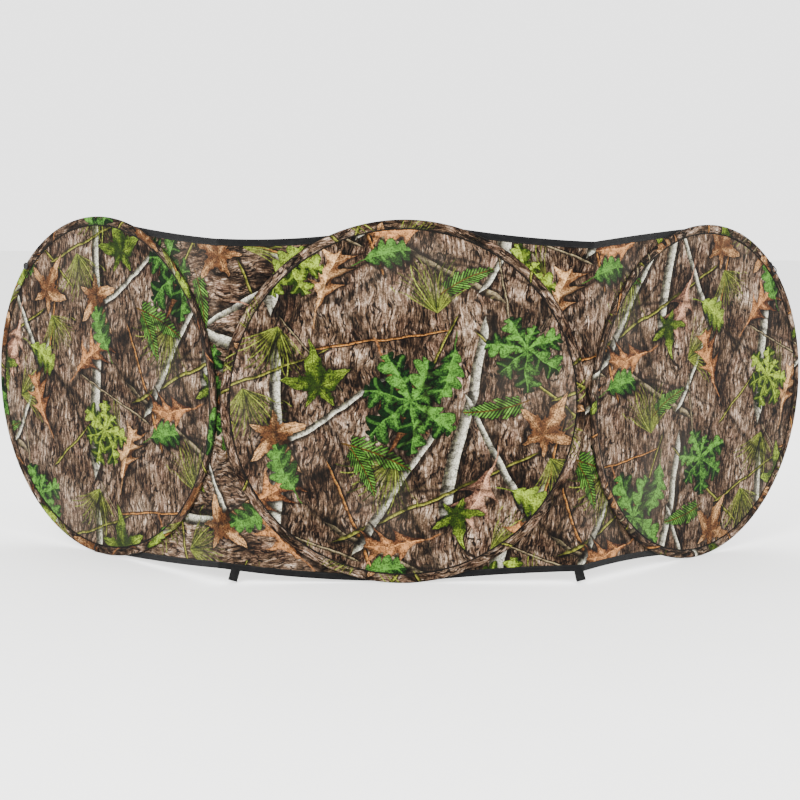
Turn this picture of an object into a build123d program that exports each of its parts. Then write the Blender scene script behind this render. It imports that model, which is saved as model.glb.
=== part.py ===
"""Pop-up ground blind: three fabric panels on spring hoops, joined edge to edge by soft gussets.

Millimetres, +Z up, ground at z = 0. The centre panel faces -Y and both wings fold back towards +Y.
The origin is the middle of the whole blind's footprint.
"""

import os
from math import cos, degrees, radians, sin, tan

from build123d import *

os.makedirs("parts", exist_ok=True)

# One panel: a hoop of flat spring steel in a fabric sleeve, with a disc of cloth stretched across it.
hoop_radius = 370.0  # to the sleeve's outer edge
sleeve_width = 20.0  # from the outer edge to the inner seam
sleeve_depth = 7.0
sleeve_wall = 0.8
sleeve_join_angle = 123.0  # where the ends of the sleeve's strip meet
seam_width = 5.0  # the sewn strip at the sleeve's inner edge
seam_depth = 2.4  # at that edge, from where the sleeve swells to its full depth
cloth_thickness = 0.8
cloth_tuck = 4.5  # how far the disc reaches into the seam
spring_inset = 4.5  # from the sleeve's outer edge to the steel
spring_thickness = 1.2
spring_depth = 4.0
ferrule_wall = 0.5
ferrule_length = 26.0
hoop_joint_angle = -90.0  # where the steel's two ends meet, at the foot of the hoop
hoop_end_gap = 0.15  # degrees between the ends

# How the panels stand.
crease_gap = 2.0  # from a hoop's outer edge to the fold line beside it
wing_angle = {"left": 42.5, "right": 37.5}  # degrees back from the centre panel's plane
fold_depth = {"left": 6.2, "right": 12.5}  # fold line behind the hoops: the right wing folds over the left
side_sign = {"left": -1, "right": 1}

# Gussets, sewn behind the sleeves and folded at the crease: the inner half lies in the centre panel's
# plane and the outer half in the wing's.
gusset_back = 4.4  # the cloth's front face, behind the hoop's mid-plane
gusset_seam_inset = 16.0  # from the hoop's outer edge to the gusset's sewn edge
crease_relief = 5.0  # each half stops this far from the fold line

# Each edge of a half: its start under the sleeve and a point on its way to the crease, from the hoop's centre.
top_edge = {
    ("left", "inner"): ((110.0, 341.0), (250.0, 327.5)),
    ("left", "outer"): ((100.0, 351.0), (250.0, 334.5)),
    ("right", "inner"): ((95.0, 354.0), (230.0, 338.5)),
    ("right", "outer"): ((80.0, 359.0), (227.0, 345.5)),
}
bottom_edge = {
    ("left", "inner"): ((40.0, -366.0), (207.0, -358.5)),
    ("left", "outer"): ((40.0, -364.0), (215.0, -354.0)),
    ("right", "inner"): ((60.0, -364.0), (205.0, -352.5)),
    ("right", "outer"): ((80.0, -353.0), (235.0, -343.5)),
}
crease_height = {"left": (326.5, -340.0), "right": (330.5, -345.5)}  # top and bottom, at the crease
gusset_core = 300.0  # inside the hoop, where the outline is closed before the disc is cut away

# Binding tape folded over the gussets' top and bottom edges.
binding_width = 14.0
binding_depth = 2.0
binding_lip = 1.0  # how far it stands past the cloth's edge

# Stake loops: webbing folded double and sewn under the bottom binding near each crease.
loop_width = 19.0
loop_wall = 1.1
loop_eye_radius = 4.2
loop_neck = 0.1  # half the gap between the two layers where they are sewn together
loop_lean = 15.0  # degrees, both lean away from the centre panel
loop_reach = {"left": 341.0, "right": 368.0}  # from the centre panel's middle
loop_pivot_height = {"left": 21.6, "right": 20.4}  # clear of the binding, so that the loop can swing
loop_ground_gap = 1.0

# Closures, high on the wings' outer edges.
button_angle = 45.0
button_radius = 8.0
button_height = 3.0
button_edge = 1.2
button_inset = 6.0
elastic_angle = 50.0
elastic_diameter = 2.5
elastic_width = 15.0
elastic_length = 24.0
elastic_clearance = 0.4
elastic_roundness = 0.42  # edge radius as a share of the diameter, just under a full round
tab_width = 14.0
tab_length = 9.0
tab_thickness = 0.8

# Tape over the joint in the left wing's sleeve.
tape_width = 5.0
tape_thickness = 0.5
tape_angle = -93.5

crease_reach = hoop_radius + crease_gap
seam_radius = hoop_radius - sleeve_width
tube_length = sleeve_width - seam_width  # the hollow part of the sleeve's section
tube_middle = hoop_radius - tube_length / 2
half_depth = sleeve_depth / 2


def wing_extent(side):
    """How far a wing's outer edge lies outboard of and behind the centre hoop's centre."""
    turn = radians(wing_angle[side])
    depth = fold_depth[side]
    along = crease_reach + hoop_radius - half_depth
    outboard = crease_reach + along * cos(turn) + depth * sin(turn) + half_depth
    behind = depth * (1 - cos(turn)) + along * sin(turn) + half_depth
    return outboard, behind


left_outboard, left_behind = wing_extent("left")
right_outboard, right_behind = wing_extent("right")
centre_x = (left_outboard - right_outboard) / 2
centre_y = (half_depth - max(left_behind, right_behind)) / 2

centre_frame = Plane(origin=(centre_x, centre_y, hoop_radius), x_dir=(1, 0, 0), z_dir=(0, -1, 0))


def wing_frame(side):
    """A wing hoop's plane: x runs to the right along the wing, y is up and z faces the front."""
    sign, turn = side_sign[side], radians(wing_angle[side])
    along = Vector(cos(turn), sign * sin(turn), 0)
    front = Vector(sign * sin(turn), -cos(turn), 0)
    fold = Vector(centre_x + sign * crease_reach, centre_y + fold_depth[side], hoop_radius)
    middle = fold + along * (sign * crease_reach) + front * fold_depth[side]
    return Plane(origin=middle, x_dir=along, z_dir=front)


def section_plane(frame, angle):
    """The half-plane that cuts a hoop at this angle: x is outwards from its centre, y faces the front."""
    turn = radians(angle)
    outwards = frame.x_dir * cos(turn) + frame.y_dir * sin(turn)
    around = frame.z_dir.cross(outwards)
    return Plane(origin=frame.origin, x_dir=outwards, z_dir=around * -1)


def hoop_axis(frame):
    return Axis(frame.origin, frame.z_dir)


def save(part, name):
    part.label = name
    export_step(part, f"parts/{name}.step")


def make_cloth(frame, name):
    with BuildPart() as cloth:
        with BuildSketch(frame.offset(-cloth_thickness / 2)):
            Circle(seam_radius + cloth_tuck)
        extrude(amount=cloth_thickness)
    save(cloth.part, name)


def sleeve_outline():
    """Sketch of a sleeve's section: a flattened tube that tapers to a sewn strip along its inner edge."""
    with BuildSketch() as outline:
        with Locations((tube_middle, 0)):
            SlotOverall(tube_length, sleeve_depth)
        with Locations((seam_radius + seam_width / 2, 0)):
            Rectangle(seam_width, seam_depth)
        make_hull()
    return outline.sketch


def make_sleeve(frame, name):
    """A hollow sleeve, slit along its inner edge for the disc's cloth."""
    with BuildPart() as sleeve:
        with BuildSketch(section_plane(frame, sleeve_join_angle)):
            add(sleeve_outline())
            with Locations((tube_middle, 0)):
                SlotOverall(
                    tube_length - 2 * sleeve_wall, sleeve_depth - 2 * sleeve_wall, mode=Mode.SUBTRACT
                )
            with Locations((seam_radius + cloth_tuck / 2, 0)):
                Rectangle(cloth_tuck, cloth_thickness, mode=Mode.SUBTRACT)
        revolve(axis=hoop_axis(frame))
    save(sleeve.part, name)


def make_spring(frame, name):
    with BuildPart() as spring:
        with BuildSketch(section_plane(frame, hoop_joint_angle + hoop_end_gap / 2)):
            with Locations((hoop_radius - spring_inset - spring_thickness / 2, 0)):
                Rectangle(spring_thickness, spring_depth)
        revolve(axis=hoop_axis(frame), revolution_arc=360 - hoop_end_gap)
    save(spring.part, name)


def make_ferrule(frame, name):
    """A crimped tube that joins the steel's two ends."""
    middle = hoop_radius - spring_inset - spring_thickness / 2
    arc = degrees(ferrule_length / middle)
    with BuildPart() as ferrule:
        with BuildSketch(section_plane(frame, hoop_joint_angle - arc / 2)):
            with Locations((middle, 0)):
                Rectangle(spring_thickness + 2 * ferrule_wall, spring_depth + 2 * ferrule_wall)
                Rectangle(spring_thickness, spring_depth, mode=Mode.SUBTRACT)
        revolve(axis=hoop_axis(frame), revolution_arc=arc)
    save(ferrule.part, name)


def edge_points(edge, rise=0.0):
    """Start, middle and crease points of a gusset edge, raised by a few millimetres."""
    return [(x, y + rise) for x, y in edge]


def gusset_edges(side, half):
    """The top and bottom edges of one half, each as three points, on the side where its crease is."""
    towards = side_sign[side] if half == "inner" else -side_sign[side]
    edges = []
    for edge, height in zip((top_edge, bottom_edge), crease_height[side]):
        points = (*edge[side, half], (crease_reach - crease_relief, height))
        edges.append([(towards * x, y) for x, y in points])
    return edges


def gusset_outline(side, half):
    """Sketch of one half of a gusset, from under the sleeve to the crease."""
    top, bottom = gusset_edges(side, half)
    with BuildSketch() as outline:
        with BuildLine():
            ThreePointArc(*top)
            Line(top[-1], bottom[-1])
            ThreePointArc(*bottom)
            Polyline(bottom[0], (bottom[0][0], -gusset_core), (top[0][0], gusset_core), top[0])
        make_face()
        Circle(hoop_radius - gusset_seam_inset, mode=Mode.SUBTRACT)
    return outline.sketch


def make_gusset(frame, side, half, name):
    with BuildPart() as gusset:
        with BuildSketch(frame.offset(-gusset_back - cloth_thickness)):
            add(gusset_outline(side, half))
        extrude(amount=cloth_thickness)
    save(gusset.part, name)


def make_binding(frame, side, half, edge, lip, name):
    """Tape folded over one edge of a gusset half. lip is positive on a top edge, negative on a bottom."""
    inwards = -binding_width if lip > 0 else binding_width
    outer = edge_points(edge, lip)
    inner = edge_points(edge, lip + inwards)
    middle_back = gusset_back + cloth_thickness / 2
    with BuildPart() as binding:
        with BuildSketch(frame.offset(-middle_back - binding_depth / 2)):
            with BuildLine():
                ThreePointArc(*outer)
                Line(outer[-1], inner[-1])
                ThreePointArc(*inner)
                Line(inner[0], outer[0])
            make_face()
        extrude(amount=binding_depth)
        with BuildSketch(frame.offset(-gusset_back - cloth_thickness)):
            add(gusset_outline(side, half))
        extrude(amount=cloth_thickness, mode=Mode.SUBTRACT)
    save(binding.part, name)


def make_stake_loop(side, name):
    """A teardrop of webbing, cut level at the top, leaning away from the centre panel."""
    sign, lean, top = side_sign[side], radians(loop_lean), loop_pivot_height[side]
    across = Vector(cos(lean), 0, sign * sin(lean))
    place = (
        centre_x + sign * loop_reach[side],
        centre_y + gusset_back + cloth_thickness / 2,
        top,
    )
    length = (top - loop_ground_gap - loop_width / 2 * sin(lean)) / cos(lean)
    outer_radius = loop_eye_radius + loop_wall
    neck_rise = loop_width / 2 * tan(lean) + loop_wall + loop_neck
    section = Plane(origin=place, x_dir=(0, 1, 0), z_dir=across)
    with BuildPart() as loop:
        with BuildSketch(section):
            with Locations((0, outer_radius - length)):
                Circle(outer_radius)
            with Locations((0, neck_rise)):
                Circle(loop_neck + loop_wall)
            make_hull()
        extrude(amount=loop_width / 2, both=True)
        with BuildSketch(section):
            with Locations((0, outer_radius - length)):
                Circle(loop_eye_radius)
            with Locations((0, neck_rise)):
                Circle(loop_neck)
            make_hull()
        extrude(amount=loop_width / 2, both=True, mode=Mode.SUBTRACT)
        split(bisect_by=Plane.XY.offset(top), keep=Keep.BOTTOM)
    save(loop.part, name)


def make_button(frame, name):
    turn, reach = radians(button_angle), hoop_radius - button_inset
    with BuildPart() as button:
        with BuildSketch(frame.offset(half_depth)):
            with Locations((-reach * cos(turn), reach * sin(turn))):
                Circle(button_radius)
        extrude(amount=button_height)
        fillet(button.faces().sort_by(hoop_axis(frame))[-1].edges(), button_edge)
    save(button.part, name)


def elastic_plane(frame, height):
    """On the sleeve where the elastic leaves its tab: x is outwards from the hoop, y runs up the sleeve."""
    turn = radians(elastic_angle)
    outwards = frame.x_dir * cos(turn) + frame.y_dir * sin(turn)
    origin = frame.origin + outwards * tube_middle + frame.z_dir * (half_depth + height)
    return Plane(origin=origin, x_dir=outwards, z_dir=frame.z_dir)


def make_elastic(frame, name):
    """A loop of elastic cord lying along the sleeve below its tab."""
    with BuildPart() as elastic:
        with BuildSketch(elastic_plane(frame, elastic_clearance)):
            with Locations((0, -elastic_length / 2)):
                SlotOverall(elastic_length, elastic_width, rotation=90)
                SlotOverall(
                    elastic_length - 2 * elastic_diameter,
                    elastic_width - 2 * elastic_diameter,
                    rotation=90,
                    mode=Mode.SUBTRACT,
                )
        extrude(amount=elastic_diameter)
        fillet(elastic.edges(), elastic_diameter * elastic_roundness)
    save(elastic.part, name)


def make_closure_tab(frame, name):
    with BuildPart() as tab:
        with BuildSketch(elastic_plane(frame, 0)):
            with Locations((0, elastic_clearance + tab_length / 2)):
                Rectangle(tab_width, tab_length)
        extrude(amount=tab_thickness)
    save(tab.part, name)


def make_sleeve_tape(frame, name):
    """A short tape wrapped round the sleeve, open towards the seam."""
    arc = degrees(tape_width / hoop_radius)
    with BuildPart() as tape:
        with BuildSketch(section_plane(frame, tape_angle - arc / 2)):
            with Locations((tube_middle, 0)):
                SlotOverall(tube_length + 2 * tape_thickness, sleeve_depth + 2 * tape_thickness)
            add(sleeve_outline(), mode=Mode.SUBTRACT)
        revolve(axis=hoop_axis(frame), revolution_arc=arc)
    save(tape.part, name)


frames = {"centre": centre_frame, "left": wing_frame("left"), "right": wing_frame("right")}

for panel, frame in frames.items():
    make_cloth(frame, f"{panel}_panel_cloth")
    make_sleeve(frame, f"{panel}_hoop_sleeve")
    make_spring(frame, f"{panel}_spring_hoop")
    make_ferrule(frame, f"{panel}_hoop_ferrule")

for side in side_sign:
    for half, frame in (("inner", frames["centre"]), ("outer", frames[side])):
        top, bottom = gusset_edges(side, half)
        make_gusset(frame, side, half, f"{side}_gusset_{half}")
        make_binding(frame, side, half, top, binding_lip, f"{side}_top_binding_{half}")
        make_binding(frame, side, half, bottom, -binding_lip, f"{side}_bottom_binding_{half}")
    make_stake_loop(side, f"{side}_stake_loop")

make_button(frames["left"], "left_closure_button")
make_sleeve_tape(frames["left"], "left_sleeve_tape")
make_closure_tab(frames["right"], "right_closure_tab")
make_elastic(frames["right"], "right_closure_elastic")
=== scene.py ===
"""Looks of the pop-up ground blind: printed cloth, puckered sleeves, bound gussets and small fittings.

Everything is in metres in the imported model's frame. A panel's own coordinates run x to the right along
it, y up and z to its front, from the centre of its hoop.
"""

from math import atan2, cos, pi, radians, sin, tau

import bpy
import numpy as np
from mathutils import Matrix, Vector


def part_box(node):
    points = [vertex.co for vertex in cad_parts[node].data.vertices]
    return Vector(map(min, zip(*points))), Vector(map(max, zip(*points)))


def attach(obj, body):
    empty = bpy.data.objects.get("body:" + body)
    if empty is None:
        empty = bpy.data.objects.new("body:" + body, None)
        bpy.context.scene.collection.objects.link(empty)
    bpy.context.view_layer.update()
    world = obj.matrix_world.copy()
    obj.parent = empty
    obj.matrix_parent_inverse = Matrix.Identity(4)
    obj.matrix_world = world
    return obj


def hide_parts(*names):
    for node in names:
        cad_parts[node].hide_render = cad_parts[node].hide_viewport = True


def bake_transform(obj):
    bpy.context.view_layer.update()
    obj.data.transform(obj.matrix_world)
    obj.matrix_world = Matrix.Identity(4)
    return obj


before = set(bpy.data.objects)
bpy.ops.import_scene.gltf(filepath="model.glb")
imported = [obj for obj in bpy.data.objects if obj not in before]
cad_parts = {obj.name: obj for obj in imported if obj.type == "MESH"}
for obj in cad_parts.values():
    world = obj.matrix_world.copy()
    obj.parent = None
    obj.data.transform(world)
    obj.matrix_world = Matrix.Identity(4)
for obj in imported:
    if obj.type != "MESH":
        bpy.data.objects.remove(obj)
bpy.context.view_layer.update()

MM = 0.001
UP = np.array((0.0, 0.0, 1.0))

# Panels
HOOP_RADIUS = 370 * MM
SEAM_RADIUS = 350 * MM  # the sleeve's inner edge
CLOTH_RADIUS = 354.5 * MM
CLOTH_THICKNESS = 0.8 * MM
SLEEVE_DEPTH = 7 * MM
STITCH_INSET = 5.2 * MM  # from the sleeve's inner edge to its row of stitches
JOIN_LAP = 14 * MM  # how far the ends of a sleeve's strip lap over each other
SLEEVE_JOIN = {"centre": 123.0, "left": -93.5, "right": 71.0}  # degrees

# Gussets: cloth behind the sleeves, with tape over the top and bottom edges
GUSSET_DEPTH = 4.8 * MM  # the cloth's middle, behind the hoop's mid-plane
GUSSET_SEAM_RADIUS = 354 * MM
CREASE_STEPS = 8
# Each half's edges, in millimetres from its own hoop's centre: their start under the sleeve, a point on the
# way and the end of their flat stretch, where the cloth turns into the crease.
TOP_EDGE = {
    ("left", "inner"): ((110, 341), (250, 327.5), (367, 326.5)),
    ("left", "outer"): ((100, 351), (250, 334.5), (367, 326.5)),
    ("right", "inner"): ((95, 354), (230, 338.5), (367, 330.5)),
    ("right", "outer"): ((80, 359), (227, 345.5), (367, 330.5)),
}
BOTTOM_EDGE = {
    ("left", "inner"): ((40, -366), (207, -358.5), (367, -340)),
    ("left", "outer"): ((40, -364), (215, -354), (367, -340)),
    ("right", "inner"): ((60, -364), (205, -352.5), (367, -345.5)),
    ("right", "outer"): ((80, -353), (235, -343.5), (367, -345.5)),
}
BINDING_WIDTH = 14 * MM
BINDING_LIP = 1 * MM
BINDING_DEPTH = 2 * MM

# Stake loops
LOOP_WIDTH = 19 * MM
LOOP_WALL = 1.1 * MM
LOOP_EYE_RADIUS = 4.2 * MM
LOOP_LEAN = 15.0  # degrees
LOOP_REACH = {"left": 341 * MM, "right": 368 * MM}
LOOP_PIVOT_HEIGHT = {"left": 21.6 * MM, "right": 20.4 * MM}
LOOP_GROUND_GAP = 1 * MM
LOOP_SEWN = 13 * MM  # how far the webbing's ends reach up into the binding
# The webbing's section, in shares of half its width and half its thickness
STRAP_FRONT = ((-1, 0), (-0.98, 0.7), (-0.93, 1), (0.93, 1), (0.98, 0.7), (1, 0))
STRAP_PROFILE = (*STRAP_FRONT, *((x, -y) for x, y in STRAP_FRONT[-2:0:-1]))

# Closures and tape
TUBE_MIDDLE = 362.5 * MM
BUTTON_RADIUS = 8 * MM
BUTTON_HEIGHT = 3 * MM
BUTTON_EDGE = 1.2 * MM
BUTTON_DISH = 0.9 * MM
BUTTON_INSET = 6 * MM
BUTTON_HOLE_OFF = 1.7 * MM
ELASTIC_ANGLE = 50.0  # degrees
ELASTIC_DIAMETER = 2.5 * MM
ELASTIC_WIDTH = 15 * MM
ELASTIC_LENGTH = 24 * MM
ELASTIC_CLEARANCE = 0.4 * MM
TAB_WIDTH = 14 * MM
TAB_LENGTH = 9 * MM
TAB_THICKNESS = 0.8 * MM
TAPE_WIDTH = 5 * MM
TAPE_THICKNESS = 0.5 * MM
TAPE_STANDS_OFF = (0.38 * MM, 1.25 * MM)  # outwards and to each side: the sleeve's lapped end is under it

# Studio
FLOOR_REACH = 40.0
WORLD_STRENGTH = 2.8
LIGHTS_AIM = (0.0, 0.0, 0.35)
LIGHTS = {  # place, size and watts
    "key": ((-2.2, -3.0, 2.6), 2.4, 300.0),
    "fill": ((2.8, -2.4, 1.9), 2.6, 150.0),
    "behind": ((0.6, 3.2, 2.8), 2.4, 150.0),
}
CAMERA_PLACE = (-0.1709, -2.9219, 0.7128)
CAMERA_ANGLES = (3.0, 7.119, 0.765)  # degrees to the right, down and rolled
CAMERA_LENS = 60.115
CAMERA_SENSOR = 36.0

# Print
TILE = (0.72, 0.64)  # metres before the motifs repeat, across and up
PRINT_CONTRAST = 1.52  # the power that the print's colours are raised to
PRINT_OFFSET = {"centre": (0.38, 0.47), "left": (0.13, 0.21), "right": (0.62, 0.09)}  # each panel's own cut
SLEEVE_OFFSET = {"centre": 0.0, "left": 0.655, "right": 0.235}  # where each sleeve's strip is cut, across
PRINT_MAP = "Print"  # UV map: metres on the printed cloth
THREAD_MAP = "Thread"  # UV map: metres along a seam and across it

SIDE_SIGN = {"left": -1, "right": 1}
BODY = {"centre": "centre", "left": "left_wing", "right": "right_wing"}


# ---------------------------------------------------------------------------------------------------
# Node trees


class Term:
    """A number in a node tree. Arithmetic on terms adds Math nodes."""

    def __init__(self, nodes, socket):
        self.nodes, self.socket = nodes, socket

    def _math(self, operation, *others):
        return self.nodes.math(operation, self, *others)

    def __add__(self, other):
        return self._math("ADD", other)

    def __sub__(self, other):
        return self._math("SUBTRACT", other)

    def __mul__(self, other):
        return self._math("MULTIPLY", other)

    def __truediv__(self, other):
        return self._math("DIVIDE", other)

    def __pow__(self, other):
        return self._math("POWER", other)

    def __rsub__(self, other):
        return self.nodes.math("SUBTRACT", other, self)

    def __abs__(self):
        return self._math("ABSOLUTE")

    __radd__, __rmul__ = __add__, __mul__

    def sin(self):
        return self._math("SINE")

    def fract(self):
        return self._math("FRACT")

    def floor(self):
        return self._math("FLOOR")

    def higher(self, other):
        return self._math("MAXIMUM", other)

    def step(self, low, high):
        """0 below low, 1 above high and smooth between them. low may be the larger."""
        return self.nodes.smooth(self, low, high)


class Nodes:
    """Adds nodes to a tree. Each call takes numbers, sockets or terms, and returns what the node gives."""

    def __init__(self, tree):
        self.tree = tree

    def feed(self, socket, value):
        if isinstance(value, Term):
            value = value.socket
        if isinstance(value, bpy.types.NodeSocket):
            self.tree.links.new(value, socket)
        else:
            socket.default_value = value

    def add(self, kind, inputs=None, **settings):
        node = self.tree.nodes.new(kind)
        for name, value in settings.items():
            setattr(node, name, value)
        for key, value in (inputs or {}).items():
            self.feed(node.inputs[key], value)
        return node

    def math(self, operation, *values):
        node = self.add("ShaderNodeMath", dict(enumerate(values)), operation=operation)
        return Term(self, node.outputs[0])

    def smooth(self, value, low, high):
        inputs = {"Value": value, "From Min": low, "From Max": high}
        node = self.add("ShaderNodeMapRange", inputs, interpolation_type="SMOOTHSTEP", clamp=False)
        return Term(self, node.outputs["Result"])

    def vector(self, operation, *values):
        return self.add("ShaderNodeVectorMath", dict(enumerate(values)), operation=operation).outputs[0]

    def split(self, vector):
        """The x and y of a vector."""
        node = self.add("ShaderNodeSeparateXYZ", {0: vector})
        return Term(self, node.outputs[0]), Term(self, node.outputs[1])

    def join(self, x, y, z=0.0):
        return self.add("ShaderNodeCombineXYZ", {0: x, 1: y, 2: z}).outputs[0]

    def noise(self, vector, scale, detail=2.0, roughness=0.5):
        inputs = {"Vector": vector, "Scale": scale, "Detail": detail, "Roughness": roughness}
        return Term(self, self.add("ShaderNodeTexNoise", inputs).outputs["Fac"])

    def noise_vector(self, vector, scale, detail=1.0):
        inputs = {"Vector": vector, "Scale": scale, "Detail": detail}
        return self.add("ShaderNodeTexNoise", inputs).outputs["Color"]

    def chance(self, number):
        """A number from 0 to 1 that looks random and is the same for the same input."""
        node = self.add("ShaderNodeTexWhiteNoise", {"W": number}, noise_dimensions="1D")
        return Term(self, node.outputs[0])

    def mix(self, share, under, over, blend_type="MIX"):
        """Colour under, with share of colour over laid on it."""
        node = self.add("ShaderNodeMix", data_type="RGBA", blend_type=blend_type)
        for index, value in ((0, share), (6, under), (7, over)):
            self.feed(node.inputs[index], value)
        return node.outputs[2]

    def ramp(self, value, *stops):
        """Colours by value. stops are (value, colour) from low to high."""
        node = self.add("ShaderNodeValToRGB", {0: value})
        elements = node.color_ramp.elements
        while len(elements) < len(stops):
            elements.new(0.5)
        for element, (place, colour) in zip(elements, stops):
            element.position, element.color = place, colour
        return node.outputs[0]

    def uv(self, name):
        return self.add("ShaderNodeUVMap", uv_map=name).outputs[0]

    def bump(self, height, strength, distance):
        inputs = {"Height": height, "Strength": strength, "Distance": distance}
        return self.add("ShaderNodeBump", inputs).outputs[0]

    def group(self, tree, **inputs):
        """The first output of a node group. An input's name has _ for a space."""
        node = self.add("ShaderNodeGroup", node_tree=tree)
        for name, value in inputs.items():
            self.feed(node.inputs[name.replace("_", " ")], value)
        return node.outputs[0]


def rgb(red, green, blue):
    """A colour from its 0-255 screen values."""
    parts = (value / 255 for value in (red, green, blue))
    return (*(((part + 0.055) / 1.055) ** 2.4 if part > 0.04 else part / 12.92 for part in parts), 1.0)


def new_group(name, inputs):
    """A node group, its Nodes, its inputs by name and its output socket. inputs are (name, kind) pairs."""
    tree = bpy.data.node_groups.new(name, "ShaderNodeTree")
    for title, kind in inputs:
        tree.interface.new_socket(title, in_out="INPUT", socket_type=f"NodeSocket{kind}")
    tree.interface.new_socket("Color", in_out="OUTPUT", socket_type="NodeSocketColor")
    nodes = Nodes(tree)
    given = tree.nodes.new("NodeGroupInput")
    result = tree.nodes.new("NodeGroupOutput")
    return tree, nodes, given.outputs, result.inputs[0]


# ---------------------------------------------------------------------------------------------------
# The woodland print: bark, then branches, needles and leaves laid over it one after another

PLACED = (
    ("Across", "Float"),
    ("Up", "Float"),
    ("Under", "Color"),
    ("Middle Across", "Float"),
    ("Middle Up", "Float"),
    ("Turn", "Float"),
    ("Size", "Float"),
    ("Deep", "Color"),
    ("Pale", "Color"),
    ("Coarse", "Float"),
    ("Medium", "Float"),
    ("Fine", "Float"),
)


def grains(nodes, given):
    """The coarse, medium and fine mottling that all the motifs share."""
    return [Term(nodes, given[name]) for name in ("Coarse", "Medium", "Fine")]


def placed(nodes, given):
    """A motif's own x and y, in units of its size: x runs along it, from its middle or its base."""
    away = []
    for name, tile in zip(("Across", "Up"), TILE):
        offset = nodes.math("SUBTRACT", given[name], given[f"Middle {name}"])
        away.append(nodes.math("WRAP", offset, tile / 2, -tile / 2))
    across, up = away
    turn_cos, turn_sin = nodes.math("COSINE", given["Turn"]), nodes.math("SINE", given["Turn"])
    x = (across * turn_cos + up * turn_sin) / given["Size"]
    y = (up * turn_cos - across * turn_sin) / given["Size"]
    return x, y


def oak_leaf(pointed):
    """A lobed leaf with a midrib and a vein in each lobe. pointed lobes have round bays between them."""
    tree, nodes, given, result = new_group("pointed_oak_leaf" if pointed else "round_oak_leaf", PLACED)
    x, y = placed(nodes, given)
    y = y + x * x * 0.16 - 0.05
    side = abs(y)
    swept = x - side * (0.75 if pointed else 0.5)
    wave = abs((swept * (pi * (3.6 if pointed else 4.2)) + 0.35).sin())
    lobes = 1.0 - wave**0.75 if pointed else wave**0.7
    fullness = (swept.higher(0.0) * (1.0 - swept).higher(0.0) * 4.0) ** 0.6
    width = fullness * (lobes * (0.30 if pointed else 0.20) + (0.10 if pointed else 0.14))
    inside = width - side
    coarse, _, fine = grains(nodes, given)
    lit = (y.step(-0.02, 0.02) * 0.35 + fine * 0.9 + coarse * 1.2 - 0.86 + inside * 1.2).step(0.0, 1.0)
    colour = nodes.mix(lit, given["Deep"], given["Pale"])
    rib = (side + x * 0.006).step(0.018, 0.008)
    branch_vein = (1.0 - wave if not pointed else wave).step(0.10, 0.02) * side.step(0.24, 0.0)
    veined = nodes.mix(rib.higher(branch_vein * 0.7), colour, given["Pale"])
    edged = nodes.mix(inside.step(0.03, 0.0) * 0.55, veined, given["Deep"])
    shadow = (width - abs(y + 0.07)).step(-0.10, 0.04) * 0.78
    shaded = nodes.mix(shadow, given["Under"], rgb(22, 17, 14))
    stalk = side.step(0.016, 0.008) * (x + 0.32).step(0.0, 0.01) * x.step(0.1, 0.0)
    over = inside.step(-0.004, 0.006).higher(stalk)
    nodes.feed(result, nodes.mix(over, shaded, edged))
    return tree


def maple_leaf():
    """A broad leaf with five pointed lobes and toothed edges, drawn round the foot of its blade."""
    tree, nodes, given, result = new_group("maple_leaf", PLACED)
    x, y = placed(nodes, given)
    angle = nodes.math("ARCTAN2", y, x)
    reach = (x * x + y * y) ** 0.5
    lobe = abs((angle * 2.5).sin())
    teeth = abs((angle * 11.0).sin()) * 0.05
    edge = (1.0 - lobe**0.8) * 0.34 + 0.24 - teeth
    edge = edge * (nodes.math("COSINE", angle) * 0.30 + 0.85)
    inside = edge - reach
    vein = (lobe * reach).step(0.020, 0.006)
    coarse, _, fine = grains(nodes, given)
    lit = (fine * 0.9 + coarse * 1.3 - 0.75 - lobe * 0.45 + reach * 0.5).step(0.0, 1.0)
    colour = nodes.mix(lit, given["Deep"], given["Pale"])
    veined = nodes.mix(vein * 0.75, colour, nodes.mix(0.5, given["Deep"], rgb(40, 34, 20)))
    shadow = (inside - y * 0.06).step(-0.13, 0.02) * 0.72
    shaded = nodes.mix(shadow, given["Under"], rgb(24, 18, 15))
    nodes.feed(result, nodes.mix(inside.step(-0.004, 0.008), shaded, veined))
    return tree


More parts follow.
